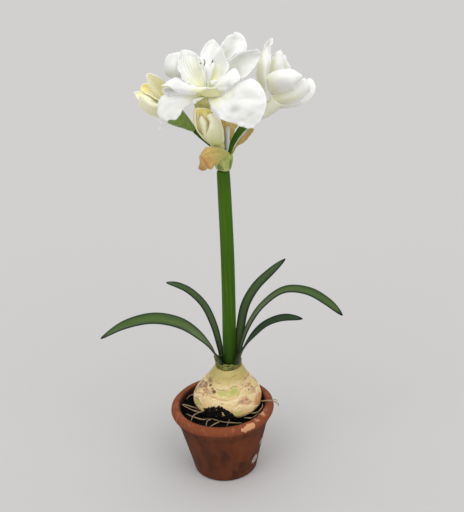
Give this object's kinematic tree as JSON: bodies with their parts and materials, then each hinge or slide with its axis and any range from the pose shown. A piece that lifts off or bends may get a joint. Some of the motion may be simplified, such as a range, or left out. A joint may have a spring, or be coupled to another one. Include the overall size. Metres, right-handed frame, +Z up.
{
  "type": "potted amaryllis plant",
  "caption": "Potted amaryllis: one upright green stem with white double flowers and cream buds, strap leaves and an exposed bulb in a weathered clay pot.",
  "frame": {"origin": "centre of the pot's underside, which is also the bottom centre of the bounding box", "axes": "+Z up along the stem, -Y to the front of the plant, +X to its right seen from the front"},
  "size_m": [0.2954, 0.1558, 0.5675],
  "materials": {
    "clay": "weathered unglazed terracotta with chips at the rim",
    "soil": "dark peat potting soil",
    "bulb": "cream bulb scales with pale green and brown patches",
    "sheath": "old torn green leaf sheaths",
    "stem": "smooth green stem",
    "leaf": "satin dark green leaf",
    "bract": "dry papery tan bract",
    "film": "thin grey membrane",
    "petal": "white petals, greenish towards the throat",
    "bud": "cream yellow petals, green at the base"
  },
  "bodies": {
    "root": {"pot": "clay", "soil": "soil", "bulb": "bulb", "neck_sheath": "sheath", "scape": "stem", "spathe_collar": "stem", "leaf_left_low": "leaf", "leaf_left_high": "leaf", "leaf_right_tall": "leaf", "leaf_right_long": "leaf", "leaf_right_low": "leaf", "pedicel_front": "stem", "pedicel_right": "stem", "pedicel_left": "stem", "pedicel_bud": "stem", "spathe_front": "bract", "spathe_back": "bract", "spathe_right": "bract", "bracteole": "film", "flower_front": "petal", "flower_right": "petal", "bud_left": "bud", "bud_front": "bud"}
  },
  "joints": []
}
